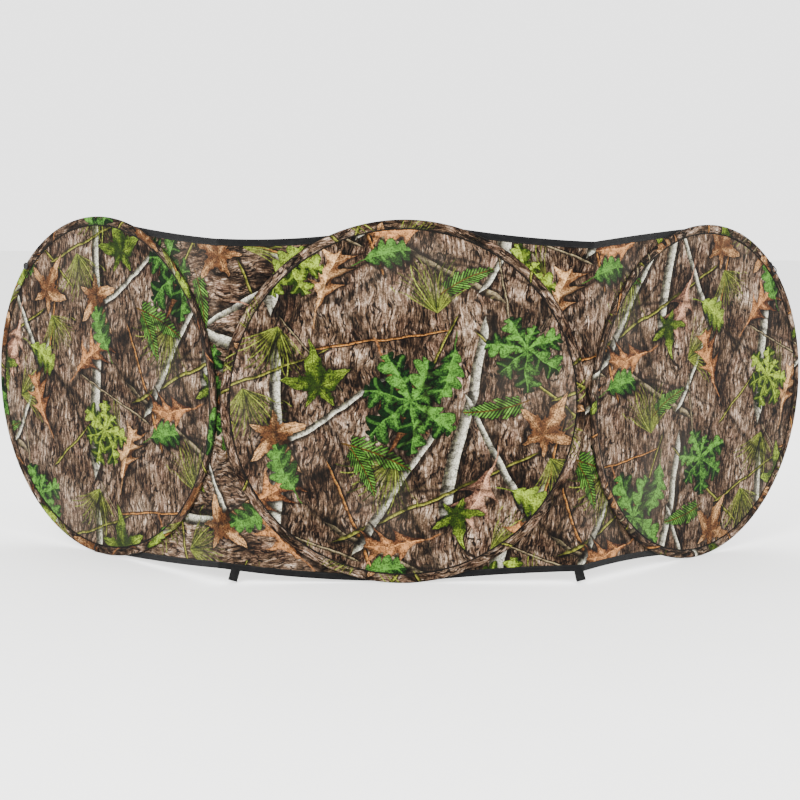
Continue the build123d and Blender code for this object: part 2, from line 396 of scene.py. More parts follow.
def leaf_whorl(count):
    """Lobed leaves of uneven length round a twig's tip."""
    tree, nodes, given, result = new_group("leaf_whorl", PLACED)
    x, y = placed(nodes, given)
    reach = (x * x + y * y) ** 0.5
    sector = nodes.math("ARCTAN2", y, x) * (count / tau) + 0.5
    number = sector.floor()
    along_angle = (sector - number - 0.5) * (tau / count)
    length = nodes.chance(number + 3.5) * 0.45 + 0.55
    run = reach / length
    across = reach * along_angle.sin() / length
    bend = (nodes.chance(number + 11.5) - 0.5) * 0.5
    across = across + (run * run - run) * bend
    side = abs(across)
    swept = run - side * 0.6
    wave = abs((swept * (pi * 3.3) + 0.5).sin())
    fullness = (swept.higher(0.0) * (1.0 - swept).higher(0.0) * 4.0) ** 0.55
    width = fullness * (wave**0.8 * 0.24 + 0.12)
    inside = width - side
    _, medium, fine = grains(nodes, given)
    lit = across.step(-0.02, 0.02) * 0.40 + medium * 0.8 + fine * 0.6 + inside - 0.95
    lit = lit + nodes.chance(number + 0.5) * 0.4 - 0.12
    colour = nodes.mix(lit.step(0.0, 0.7), given["Deep"], given["Pale"])
    vein = side.step(0.022, 0.008).higher((1.0 - wave).step(0.08, 0.01) * 0.6)
    veined = nodes.mix(vein * 0.7, colour, given["Pale"])
    edged = nodes.mix(inside.step(0.05, 0.0) * 0.7, veined, rgb(10, 28, 10))
    shaded = nodes.mix(reach.step(1.1, 0.3) * 0.75, given["Under"], rgb(18, 20, 12))
    nodes.feed(result, nodes.mix(inside.step(-0.006, 0.010), shaded, edged))
    return tree


def needle_fan():
    """Long thin needles that spread from one point."""
    tree, nodes, given, result = new_group("needle_fan", PLACED)
    x, y = placed(nodes, given)
    reach = (x * x + y * y) ** 0.5
    angle = nodes.math("ARCTAN2", y, x)
    colour = given["Under"]
    colour = nodes.mix(abs(angle).step(1.0, 0.5) * reach.step(1.0, 0.2) * 0.5, colour, rgb(26, 30, 14))
    for needles, seed, share in ((70, 0.5, 0.55), (46, 7.5, 1.0)):
        turn = (angle + reach * reach * (0.25 if seed > 1 else -0.2)) * (needles / tau)
        number = turn.floor()
        off = abs(turn - number - 0.5) * reach * (tau / needles)
        tip = nodes.chance(number + seed) * 0.5 + 0.5
        needle = off.step(0.013, 0.006) * (reach - tip).step(0.0, -0.03) * abs(angle).step(1.05, 0.95)
        tint = nodes.mix(nodes.chance(number + seed + 90.0), given["Deep"], given["Pale"])
        colour = nodes.mix(needle * share, colour, tint)
    nodes.feed(result, colour)
    return tree


def fir_spray():
    """Short flat needles down both sides of a thin stem."""
    tree, nodes, given, result = new_group("fir_spray", PLACED)
    x, y = placed(nodes, given)
    y = y + x * x * 0.18
    side = abs(y)
    row = (x - side * 1.1) * 15.0 + y.step(-0.001, 0.001) * 0.5
    number = row.floor()
    off = abs(row - number - 0.5)
    length = (1.0 - x).higher(0.0) ** 0.5 * 0.24 * (nodes.chance(number) * 0.5 + 0.6)
    needle = off.step(0.42, 0.26) * (length - side).step(-0.004, 0.01)
    needle = needle * x.step(0.0, 0.03) * x.step(1.0, 0.97)
    tone = nodes.chance(number + 40.0) * 0.7 + off.step(0.3, 0.0) * 0.5
    tint = nodes.mix(tone, given["Deep"], given["Pale"])
    shadow = (length + 0.03 - side).step(-0.02, 0.04) * x.step(-0.02, 0.05) * x.step(1.02, 0.9) * 0.7
    shaded = nodes.mix(shadow, given["Under"], rgb(24, 22, 14))
    stem = side.step(0.016, 0.008) * x.step(-0.15, -0.12) * x.step(1.0, 0.98)
    sprayed = nodes.mix(needle, shaded, tint)
    nodes.feed(result, nodes.mix(stem, sprayed, rgb(104, 84, 40)))
    return tree


def branch():
    """A round branch: Size is half its thickness, and Length half its length, both in metres."""
    tree, nodes, given, result = new_group("branch", (*PLACED, ("Length", "Float")))
    x, y = placed(nodes, given)
    inputs = {"W": x * 0.035 + given["Turn"], "Scale": 1.0}
    wander = nodes.add("ShaderNodeTexNoise", inputs, noise_dimensions="1D")
    y = y + (Term(nodes, wander.outputs["Fac"]) - 0.5) * 4.5
    end = Term(nodes, given["Length"]) / given["Size"]
    taper = (1.12 - (x / end) * 0.30) * abs(x / end).step(1.0, 0.84)
    ends = abs(x / end).step(1.0, 0.985)
    inside = taper - abs(y)
    _, knots, flecks = grains(nodes, given)
    round_light = (y * -0.5 + 0.45).step(0.0, 0.9)
    skin = nodes.mix(round_light * 0.75 + knots * 0.5 - 0.22, given["Deep"], given["Pale"])
    mossy = nodes.mix((knots - flecks * 0.3).step(0.42, 0.5) * 0.55, skin, rgb(112, 112, 74))
    speckled = nodes.mix((flecks * 0.6 + knots * 0.5).step(0.47, 0.40), mossy, rgb(30, 26, 21))
    shaded = nodes.mix((1.9 - abs(y + 0.9)).step(0.0, 1.0) * ends * 0.72, given["Under"], rgb(20, 15, 12))
    nodes.feed(result, nodes.mix(inside.step(-0.05, 0.12) * ends, shaded, speckled))
    return tree


def bark():
    """Furrowed trunk bark, its grain upright."""
    tree, nodes, given, result = new_group("bark", (("Where", "Vector"),))
    where = given["Where"]
    x, y = nodes.split(where)
    sway = nodes.noise(where, 14.0, 2.0) * 0.030
    fine = nodes.noise(nodes.join(x + sway, y * 0.13), 420.0, 3.0, 0.6)
    strands = nodes.noise(nodes.join(x + sway, y * 0.16), 150.0, 4.0, 0.68)
    furrows = abs(nodes.noise(nodes.join(x + sway * 1.6, y * 0.20, 0.7), 62.0, 3.0, 0.6) - 0.5)
    patches = nodes.noise(where, 11.0, 3.0, 0.55)
    tone = strands * 0.75 + fine * 0.55 - 0.15 + (patches - 0.5) * 0.6
    colour = nodes.ramp(
        tone,
        (0.30, rgb(34, 26, 22)),
        (0.41, rgb(82, 66, 54)),
        (0.50, rgb(126, 108, 92)),
        (0.60, rgb(168, 150, 134)),
        (0.72, rgb(216, 202, 188)),
    )
    warm = nodes.noise(where, 23.0, 2.0)
    tinted = nodes.mix(warm.step(0.5, 0.66) * 0.4, colour, rgb(120, 104, 60), "MULTIPLY")
    tinted = nodes.mix(warm.step(0.5, 0.34) * 0.30, tinted, rgb(196, 166, 160), "MULTIPLY")
    cracked = nodes.mix(furrows.step(0.034, 0.006) * 0.9, tinted, rgb(22, 16, 14))
    nodes.feed(result, cracked)
    return tree


BIRCH = (rgb(78, 74, 64), rgb(232, 230, 216))
GREY_LIMB = (rgb(52, 44, 36), rgb(176, 164, 138))
GREEN_TWIG = (rgb(58, 56, 26), rgb(176, 176, 96))
TAN_TWIG = (rgb(70, 46, 26), rgb(206, 160, 104))
OAK_GREEN = (rgb(26, 56, 28), rgb(112, 152, 80))
LIME = (rgb(58, 76, 26), rgb(162, 178, 84))
RUST = (rgb(84, 54, 36), rgb(196, 154, 112))
TAN = (rgb(112, 82, 56), rgb(222, 188, 146))
FADED = (rgb(104, 78, 66), rgb(206, 172, 148))
PINE = (rgb(42, 58, 24), rgb(156, 164, 84))
FIR = (rgb(32, 74, 30), rgb(128, 168, 84))

# Each limb is its middle across and up the tile, its turn in degrees, half its length, half its thickness
# and its colours. Each motif is the middle of its base, its turn, its length and its colours.
LIMBS = (
    (0.115, 0.30, 88, 0.30, 0.0125, BIRCH),
    (0.50, 0.44, 78, 0.22, 0.0105, BIRCH),
    (0.245, 0.46, 34, 0.17, 0.0055, BIRCH),
    (0.40, 0.13, 152, 0.21, 0.0058, GREY_LIMB),
    (0.61, 0.20, 61, 0.17, 0.0050, BIRCH),
    (0.28, 0.22, 112, 0.15, 0.0030, TAN_TWIG),
    (0.45, 0.28, 24, 0.24, 0.0032, GREEN_TWIG),
    (0.64, 0.52, 141, 0.16, 0.0026, GREEN_TWIG),
    (0.06, 0.10, 40, 0.13, 0.0024, GREEN_TWIG),
    (0.33, 0.60, 8, 0.15, 0.0022, TAN_TWIG),
    (0.58, 0.05, 100, 0.09, 0.0020, GREY_LIMB),
    (0.19, 0.57, 130, 0.10, 0.0020, GREY_LIMB),
    (0.365, 0.30, 57, 0.17, 0.0072, BIRCH),
    (0.565, 0.37, 116, 0.14, 0.0060, BIRCH),
    (0.095, 0.53, 21, 0.15, 0.0026, GREEN_TWIG),
    (0.675, 0.31, 77, 0.16, 0.0027, TAN_TWIG),
    (0.175, 0.19, 159, 0.13, 0.0023, GREY_LIMB),
    (0.425, 0.53, 63, 0.14, 0.0025, GREEN_TWIG),
)
NEEDLES = (
    (0.055, 0.50, -75, 0.115, PINE),
    (0.36, 0.36, -118, 0.125, PINE),
    (0.56, 0.17, 20, 0.105, PINE),
    (0.20, 0.10, 152, 0.100, PINE),
    (0.68, 0.36, -60, 0.095, PINE),
    (0.445, 0.015, 97, 0.120, PINE),
    (0.125, 0.625, -103, 0.115, PINE),
)
SPRAYS = (
    (0.27, 0.385, -12, 0.135, FIR),
    (0.275, 0.375, -52, 0.105, FIR),
    (0.62, 0.475, 200, 0.120, FIR),
    (0.46, 0.06, 35, 0.105, FIR),
)
FALLEN = (
    (0.335, 0.55, -64, 0.165, RUST),
    (0.055, 0.235, 44, 0.130, RUST),
    (0.555, 0.345, 250, 0.135, FADED),
    (0.42, 0.195, 196, 0.120, RUST),
    (0.21, 0.02, 78, 0.120, TAN),
    (0.665, 0.115, 118, 0.125, RUST),
)
FRESH = (
    (0.475, 0.585, 262, 0.105, OAK_GREEN),
    (0.165, 0.295, 122, 0.100, OAK_GREEN),
    (0.60, 0.285, 340, 0.095, LIME),
    (0.30, 0.115, 20, 0.090, OAK_GREEN),
)
BROAD = (
    (0.205, 0.505, 100, 0.150, LIME),
    (0.665, 0.41, 60, 0.150, TAN),
    (0.49, 0.245, 285, 0.120, LIME),
    (0.115, 0.41, 305, 0.150, TAN),
)
WHORLS = (
    (0.395, 0.475, 15, 0.110, OAK_GREEN),
    (0.625, 0.585, 70, 0.085, OAK_GREEN),
    (0.145, 0.115, 40, 0.080, LIME),
)


def woodland_print():
    """The whole print: give it a place on the cloth and it gives the colour there."""
    tree, nodes, given, result = new_group("woodland_print", (("Where", "Vector"),))
    where = given["Where"]
    shared = {
        "Coarse": nodes.noise(where, 34.0, 2.0),
        "Medium": nodes.noise(where, 95.0, 3.0, 0.7),
        "Fine": nodes.noise(where, 290.0, 3.0, 0.65),
    }
    colour = nodes.group(bark(), Where=where)
    x, y = nodes.split(where)
    # The bark's tone frays every edge a little, and makes the bark's nodes run before the motifs' nodes.
    fray = nodes.split(colour)[0] * 0.0008
    sway_x, sway_y = (part - 0.5 for part in nodes.split(nodes.noise_vector(where, 17.0, 2.0)))
    still = (x + sway_x * 0.005 + fray, y + sway_y * 0.005)
    uneven = (x + sway_x * 0.026 + fray, y + sway_y * 0.026)

    def lay(motif, place, across, up, turn, size, colours, **extra):
        """The print so far with one more motif laid on it."""
        return nodes.group(
            motif,
            Across=place[0],
            Up=place[1],
            Under=colour,
            Middle_Across=across,
            Middle_Up=up,
            Turn=radians(turn),
            Size=size,
            Deep=colours[0],
            Pale=colours[1],
            **extra,
            **shared,
        )

    limb = branch()
    for across, up, turn, length, thickness, colours in LIMBS:
        colour = lay(limb, still, across, up, turn, thickness, colours, Length=length)
    layers = (
        (needle_fan(), still, NEEDLES),
        (fir_spray(), still, SPRAYS),
        (oak_leaf(pointed=True), uneven, FALLEN),
        (maple_leaf(), uneven, BROAD),
        (leaf_whorl(7), uneven, WHORLS),
        (oak_leaf(pointed=False), uneven, FRESH),
    )
    for motif, place, items in layers:
        for item in items:
            colour = lay(motif, place, *item)
    grain = (shared["Fine"] * 0.55 + shared["Medium"] * 0.55).step(0.63, 0.42)
    grained = nodes.mix(grain * 0.68, colour, rgb(92, 86, 80), "MULTIPLY")
    toned = nodes.add("ShaderNodeGamma", {"Color": grained, "Gamma": PRINT_CONTRAST}).outputs[0]
    nodes.feed(result, toned)
    return tree


# ---------------------------------------------------------------------------------------------------
# Where things are


class Panel:
    """A hoop's plane, found from the box of the cloth disc that fills it."""

    def __init__(self, name, sign):
        low, high = (np.array(corner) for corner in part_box(f"{name}_panel_cloth"))
        wide, deep, size = high - low
        thick = CLOTH_THICKNESS
        turn_cos = (size * wide - thick * deep) / (size**2 - thick**2)
        turn_sin = (size * deep - thick * wide) / (size**2 - thick**2)
        self.name = name
        self.middle = (low + high) / 2
        self.along = np.array((turn_cos, sign * turn_sin, 0.0)) if sign else np.array((1.0, 0.0, 0.0))
        self.front = np.array((self.along[1], -self.along[0], 0.0))

    def at(self, x, y, z=0.0):
        """Points of the panel in the shared frame. x, y and z are numbers or arrays."""
        x, y, z = np.broadcast_arrays(x, y, z)
        return self.middle + x[..., None] * self.along + y[..., None] * UP + z[..., None] * self.front

    def angle_of(self, node):
        """The angle at which a node sits round the hoop, in radians."""
        low, high = (np.array(corner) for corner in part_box(node))
        off = (low + high) / 2 - self.middle
        return atan2(off @ UP, off @ self.along)


def ripple(seed, place, lengths, height):
    """A sum of waves with random phases along place, in metres. lengths are the waves' lengths."""
    random = np.random.RandomState(seed)
    total = sum(np.sin(place * (tau / length) + random.uniform(0, tau)) for length in lengths)
    return total * (height / len(lengths))


def ease(value, low, high):
    """0 up to low, 1 from high and smooth between them."""
    share = np.clip((value - low) / (high - low), 0.0, 1.0)
    return share * share * (3 - 2 * share)


# ---------------------------------------------------------------------------------------------------
# Meshes


def grid_piece(name, points, maps, materials, closed=False, capped=False):
    """A smooth mesh over rows and columns of points. closed joins the last column to the first, and capped
    fills the first and last rows. maps has an array for each UV map, a column longer when closed."""
    rows, columns = points.shape[:2]
    row, column = np.meshgrid(
        np.arange(rows - 1), np.arange(columns if closed else columns - 1), indexing="ij"
    )
    after = (column + 1) % columns
    here, below = row * columns, (row + 1) * columns
    corners = (here + column, here + after, below + after, below + column)
    faces = np.stack(corners, axis=-1).reshape(-1, 4).tolist()
    if capped:
        faces += [list(range(columns))[::-1], list(range((rows - 1) * columns, rows * columns))]
    mesh = bpy.data.meshes.new(name)
    mesh.from_pydata(points.reshape(-1, 3).tolist(), [], faces)
    for title, values in maps.items():
        values = np.broadcast_to(values, (rows, columns + closed, 2))
        steps = ((0, 0), (0, 1), (1, 1), (1, 0))
        flat = np.stack([values[row + down, column + over] for down, over in steps], axis=-2)
        flat = flat.reshape(-1, 2)
        if capped:
            flat = np.concatenate((flat, values[0, :columns][::-1], values[-1, :columns]))
        mesh.uv_layers.new(name=title).data.foreach_set("uv", flat.astype(np.float32).ravel())
    for material in materials:
        mesh.materials.append(material)
    mesh.shade_smooth()
    piece = bpy.data.objects.new(name, mesh)
    bpy.context.scene.collection.objects.link(piece)
    return piece


def thicken(piece, thickness):
    """Gives a sheet its thickness, with the second material on its back."""
    solid = piece.modifiers.new("Thickness", "SOLIDIFY")
    solid.thickness, solid.offset = thickness, 0.0
    solid.material_offset = 1


def pairs(first, second):
    """A UV map's array from its two numbers."""
    return np.stack(np.broadcast_arrays(first, second), axis=-1)


def tube(name, path, radius, material, sides=12):
    """A round cord along a path. Its Thread map runs along the cord and round it, in metres."""
    path = np.asarray(path)
    ahead = np.gradient(path, axis=0)
    ahead /= np.linalg.norm(ahead, axis=1, keepdims=True)
    aside = np.cross(ahead, np.linalg.svd(path - path.mean(axis=0))[2][2])
    aside /= np.linalg.norm(aside, axis=1, keepdims=True)
    over = np.cross(ahead, aside)
    angle = np.arange(sides) * (tau / sides)
    ring = np.cos(angle)[None, :, None] * aside[:, None] + np.sin(angle)[None, :, None] * over[:, None]
    run = np.concatenate(([0.0], np.cumsum(np.linalg.norm(np.diff(path, axis=0), axis=1))))
    around = np.arange(sides + 1) * (tau * radius / sides)
    maps = {THREAD_MAP: pairs(run[:, None], around[None, :])}
    return grid_piece(name, path[:, None] + ring * radius, maps, [material], closed=True, capped=True)


# ---------------------------------------------------------------------------------------------------
# Pieces


def make_cloth(panel, offset, materials, seed):
    """The disc: flat where it is sewn in, and slack enough inside for slow waves and small puckers."""
    side = np.linspace(-1.0, 1.0, 141)
    across, up = np.meshgrid(side, side)
    x = across * np.sqrt(1 - up * up / 2) * CLOTH_RADIUS
    y = up * np.sqrt(1 - across * across / 2) * CLOTH_RADIUS
    reach, angle = np.hypot(x, y), np.arctan2(y, x)
    slow = ripple(seed, x * 0.8 + y * 0.6, (0.31, 0.47), 1.3 * MM)
    slow = slow + ripple(seed + 1, y * 0.9 - x * 0.4, (0.26, 0.39), 1.1 * MM)
    puckers = sum(np.sin(angle * count + seed + count) for count in (53, 71, 97)) * (0.22 * MM)
    puckered = ease(reach, 0.29, 0.335) * ease(reach, 0.349, 0.340)
    height = slow * ease(reach, 0.345, 0.25) + puckers * puckered
    name = f"{panel.name}_cloth"
    maps = {PRINT_MAP: pairs(x + offset[0], y + offset[1])}
    piece = grid_piece(name, panel.at(x, y, height), maps, materials)
    thicken(piece, CLOTH_THICKNESS)
    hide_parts(f"{panel.name}_panel_cloth")
    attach(piece, BODY[panel.name])


def sleeve_section():
    """Half the outline of a sleeve's section, from its inner edge out: radius and depth, in millimetres."""
    return np.array(
        (
            (350.0, 0.0),
            (350.0, 1.15),
            (351.6, 1.25),
            (352.6, 1.02),
            (353.7, 1.40),
            (356.2, 2.75),
            (358.8, 3.42),
            (362.5, 3.5),
            (365.8, 3.45),
            (368.2, 2.9),
            (369.6, 1.6),
            (370.0, 0.0),
        )
    )


def make_sleeve(panel, offset, materials, seed):
    """A tube of cloth round the hoop, sewn along its inner edge, with its ends lapped at the join."""
    half = sleeve_section() * MM
    outline = np.concatenate((half, (half * (1, -1))[-2:0:-1]))
    steps = 720
    turn = tau + JOIN_LAP / HOOP_RADIUS
    angle = radians(SLEEVE_JOIN[panel.name]) + np.linspace(0.0, turn, steps + 1)
    run = angle * HOOP_RADIUS
    lapped = ease(run - run[0], tau * HOOP_RADIUS - 3 * MM, tau * HOOP_RADIUS)
    thick = np.abs(outline[:, 1]) / (SLEEVE_DEPTH / 2)
    facing = np.sign(outline[:, 1])
    from_seam = outline[:, 0] - SEAM_RADIUS
    slant = run[:, None] + from_seam[None, :] * 0.8
    rumple = ripple(seed, slant, (0.013, 0.021, 0.034, 0.072), 0.42 * MM)
    rumple = rumple * ease(from_seam, 0.0, 5 * MM) * thick
    wander = ripple(seed + 3, run, (0.045, 0.08, 0.15), 0.45 * MM)[:, None]
    wander = wander * ease(from_seam, 12 * MM, 0.0)
    reach = outline[:, 0] + wander + lapped[:, None] * 0.1 * MM
    depth = outline[:, 1] + facing * (rumple + lapped[:, None] * 0.7 * MM * (0.4 + 0.6 * thick))
    points = panel.at(reach * np.cos(angle)[:, None], reach * np.sin(angle)[:, None], depth)
    sweep = np.linalg.norm(np.diff(outline, axis=0, append=outline[:1]), axis=1)
    across = np.concatenate(([0.0], np.cumsum(sweep)))
    edge = np.append(from_seam, from_seam[0])
    maps = {
        PRINT_MAP: pairs(across[None, :] + offset, run[:, None]),
        THREAD_MAP: pairs(run[:, None], edge[None, :]),
    }
    piece = grid_piece(f"{panel.name}_sleeve", points, maps, materials, closed=True, capped=True)
    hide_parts(f"{panel.name}_hoop_sleeve")
    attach(piece, BODY[panel.name])


def through(points, share):
    """A curve through three points of an edge, in metres, as x and y along it."""
    (x0, y0), (x1, y1), (x2, y2) = points
    middle = (x1 - x0) / (x2 - x0)
    before = (share - middle) * (share - 1) / middle
    between = share * (1 - share) / (middle * (1 - middle))
    after = share * (share - middle) / (1 - middle)
    return (x0 + (x2 - x0) * share) * MM, (y0 * before + y1 * between + y2 * after) * MM


def half_gusset(side, half, shares, heights, sign):
    """One half of a gusset, flat, from its hoop to the crease: a grid of places, rows from top to bottom."""
    top = np.stack(through(TOP_EDGE[side, half], shares), axis=-1)
    bottom = np.stack(through(BOTTOM_EDGE[side, half], shares), axis=-1)
    ends = [atan2(edge[0][1], edge[0][0]) for edge in (top, bottom)]
    angle = ends[0] + (ends[1] - ends[0]) * heights
    near_end = [ease(heights, 0.05, 0.0), ease(heights, 0.95, 1.0)]
    reach = GUSSET_SEAM_RADIUS
    for edge, near in zip((top, bottom), near_end):
        reach = reach + (np.hypot(*edge[0]) - GUSSET_SEAM_RADIUS) * near
    seam = np.stack((reach * np.cos(angle), reach * np.sin(angle)), axis=-1)
    crease = top[-1] + (bottom[-1] - top[-1]) * heights[:, None]
    u, v = shares[None, :, None], heights[:, None, None]
    flat = seam[:, None] * (1 - u) + crease[:, None] * u + top[None] * (1 - v) + bottom[None] * v
    flat = flat - (top[0] * (1 - u) + top[-1] * u) * (1 - v) - (bottom[0] * (1 - u) + bottom[-1] * u) * v
    return flat * (sign, 1.0)


def gusset_grid(side, centre, wing):
    """A gusset's points and normals, with columns from the centre's hoop to the wing's, how far each point
    is along the cloth from the crease, and the ends of the two flat stretches."""
    sign = SIDE_SIGN[side]
    shares = np.linspace(0.0, 1.0, 17)
    heights = np.linspace(0.0, 1.0, 121)
    inner = half_gusset(side, "inner", shares, heights, sign)
    outer = half_gusset(side, "outer", shares, heights, -sign)[:, ::-1]
    near = centre.at(inner[..., 0], inner[..., 1], -GUSSET_DEPTH)
    far = wing.at(outer[..., 0], outer[..., 1], -GUSSET_DEPTH)
    start, end = near[:, -1], far[:, 0]
    gap = (end - start)[0, :2]
    ways = np.stack((sign * centre.along[:2], sign * wing.along[:2]), axis=1)
    step = np.linalg.solve(ways, gap)[0]
    bend = start + step * sign * centre.along
    share = np.linspace(0.0, 1.0, CREASE_STEPS + 1)[1:-1][None, :, None]
    turn = start[:, None] * (1 - share) ** 2 + end[:, None] * share**2
    turn = turn + bend[:, None] * (2 * share * (1 - share))
    points = np.concatenate((near, turn, far), axis=1)
    normals = np.concatenate(
        (
            np.broadcast_to(centre.front, near.shape),
            np.broadcast_to(centre.front * (1 - share) + wing.front * share, turn.shape),
            np.broadcast_to(wing.front, far.shape),
        ),
        axis=1,
    )
    normals = normals / np.linalg.norm(normals, axis=-1, keepdims=True)
    steps = np.linalg.norm(np.diff(points, axis=1), axis=-1)
    run = np.concatenate((np.zeros((len(points), 1)), np.cumsum(steps, axis=1)), axis=1)
    crease = run[:, len(shares) - 1 + CREASE_STEPS // 2]
    return points, normals, run - crease[:, None], (start.mean(axis=0), end.mean(axis=0))


def make_gusset(side, centre, wing, materials):
    """The cloth between two hoops, in one piece that bends at the crease, with its area and height."""
    points, normals, run, (start, end) = gusset_grid(side, centre, wing)
    rise = points[..., 2]
    seed = 31 if side == "left" else 47
    slack = ease(np.abs(run), 0.0, 30 * MM) * ease(np.abs(run), 0.27, 0.12)
    wrinkle = ripple(seed, rise + run * 0.5, (0.052, 0.083, 0.14), 0.45 * MM)
    wrinkle = wrinkle + ripple(seed + 1, run * 1.2 - rise * 0.4, (0.06, 0.11), 0.45 * MM)
    shaped = points - normals * (np.abs(wrinkle) * slack)[..., None]
    place = (rise, run + 0.41) if side == "left" else (run + 0.29, rise + 0.13)
    name = f"{side}_gusset"
    order = slice(None, None, SIDE_SIGN[side])
    piece = grid_piece(name, shaped[::-1, order], {PRINT_MAP: pairs(*place)[::-1, order]}, materials)
    thicken(piece, CLOTH_THICKNESS)
    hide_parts(f"{side}_gusset_inner", f"{side}_gusset_outer")
    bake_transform(piece)
    return piece, cloth_area(shaped), float(rise.max() - rise.min())


def cloth_area(points):
    """The area of a grid of points."""
    one, two = np.diff(points, axis=1)[:-1], np.diff(points, axis=0)[:, :-1]
    return float(np.linalg.norm(np.cross(one, two), axis=-1).sum())


def make_binding(side, edge, centre, wing, material):
    """Ribbed tape folded over the top or bottom edge of a gusset, in one piece round the crease."""
    points, normals, _, (start, end) = gusset_grid(side, centre, wing)
    at_edge, next_in = (0, 1) if edge == "top" else (-1, -2)
    row, inwards, normal = points[at_edge], points[next_in] - points[at_edge], normals[0]
    along = np.gradient(row, axis=0)
    along /= np.linalg.norm(along, axis=1, keepdims=True)
    inwards = inwards - along * (inwards * along).sum(axis=1, keepdims=True)
    inwards /= np.linalg.norm(inwards, axis=1, keepdims=True)
    wide, lip, half = BINDING_WIDTH - BINDING_LIP, BINDING_LIP, BINDING_DEPTH / 2
    profile = np.array(
        (
            (-lip, 0.0),
            (-lip * 0.8, half * 0.65),
            (-lip * 0.2, half * 0.95),
            (2 * MM, half * 0.9),
            (wide - 3 * MM, half * 0.92),
            (wide - 2 * MM, half * 0.70),
            (wide - 1 * MM, half * 0.92),
            (wide - 0.1 * MM, half * 0.85),
            (wide, half * 0.6),
        )
    )
    profile = np.concatenate((profile, (profile * (1, -1))[:0:-1]))
    shaped = row[:, None] + inwards[:, None] * profile[:, :1] + normal[:, None] * profile[:, 1:]
    run = np.concatenate(([0.0], np.cumsum(np.linalg.norm(np.diff(row, axis=0), axis=1))))
    ribs = ripple(5, run, (0.0021, 0.05), 0.05 * MM)
    shaped = shaped + normal[:, None] * (np.sign(profile[:, 1])[None, :] * ribs[:, None])[..., None]
    maps = {THREAD_MAP: pairs(run[:, None], wide - np.append(profile[:, 0], profile[0, 0])[None, :])}
    name = f"{side}_{edge}_binding"
    piece = grid_piece(name, shaped, maps, [material], closed=True, capped=True)
    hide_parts(f"{name}_inner", f"{name}_outer")
    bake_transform(piece)
    return piece


def make_stake_loop(side, centre, material):
    """Webbing folded round its eye, its two ends sewn inside the bottom binding."""
    sign, lean, top = SIDE_SIGN[side], radians(LOOP_LEAN), LOOP_PIVOT_HEIGHT[side]
    pivot = centre.at(sign * LOOP_REACH[side], top - HOOP_RADIUS, -GUSSET_DEPTH)
    across = np.array((cos(lean), 0.0, sign * sin(lean)))
    hanging = np.cross(across, centre.front)
    hanging = hanging * -np.sign(hanging[2])
    length = (top - LOOP_GROUND_GAP - LOOP_WIDTH / 2 * sin(lean)) / cos(lean)
    eye = LOOP_EYE_RADIUS + LOOP_WALL / 2
    eye_down = length - LOOP_EYE_RADIUS - LOOP_WALL
    parted = 0.62  # radians from the eye's top at which the two layers leave it
    round_eye = np.linspace(-pi / 2 + parted, 1.5 * pi - parted, 25)
    front = [(-0.45 * MM, -LOOP_SEWN), (-0.62 * MM, -LOOP_SEWN * 0.4), (-0.95 * MM, 0.0)]
    ring = [(-eye * cos(angle), eye_down + eye * sin(angle)) for angle in round_eye]
    middle = front + ring + [(-x, down) for x, down in front[::-1]]
    middle = even_path(middle, 90)
    ahead = np.gradient(middle, axis=0)
    ahead /= np.linalg.norm(ahead, axis=1, keepdims=True)
    aside = np.stack((-ahead[:, 1], ahead[:, 0]), axis=1)
    half = LOOP_WALL / 2
    profile = [(x * LOOP_WIDTH / 2, y * half) for x, y in STRAP_PROFILE]
    thin = 0.6 + 0.4 * ease(middle[:, 1], -8 * MM, 2 * MM)
    rows = []
    for (out, down), (out_way, down_way), share in zip(middle, aside, thin):
        base = pivot + centre.front * -out + hanging * down
        way = centre.front * -out_way + hanging * down_way
        rows.append([base + across * x + way * (y * share) for x, y in profile])
    run = np.concatenate(([0.0], np.cumsum(np.linalg.norm(np.diff(middle, axis=0), axis=1))))
    sweep = np.array([x for x, _ in profile] + [profile[0][0]])
    maps = {THREAD_MAP: pairs(run[:, None], sweep[None, :])}
    piece = grid_piece(f"{side}_loop_webbing", np.array(rows), maps, [material], closed=True, capped=True)
    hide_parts(f"{side}_stake_loop")
    start, end = pivot + UP * 7 * MM, pivot - UP * 1 * MM
    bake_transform(piece)


def even_path(points, count):
    """count points evenly spaced along a line through points."""
    points = np.array(points)
    run = np.concatenate(([0.0], np.cumsum(np.linalg.norm(np.diff(points, axis=0), axis=1))))
    even = np.linspace(0.0, run[-1], count)
    return np.stack([np.interp(even, run, column) for column in points.T], axis=1)


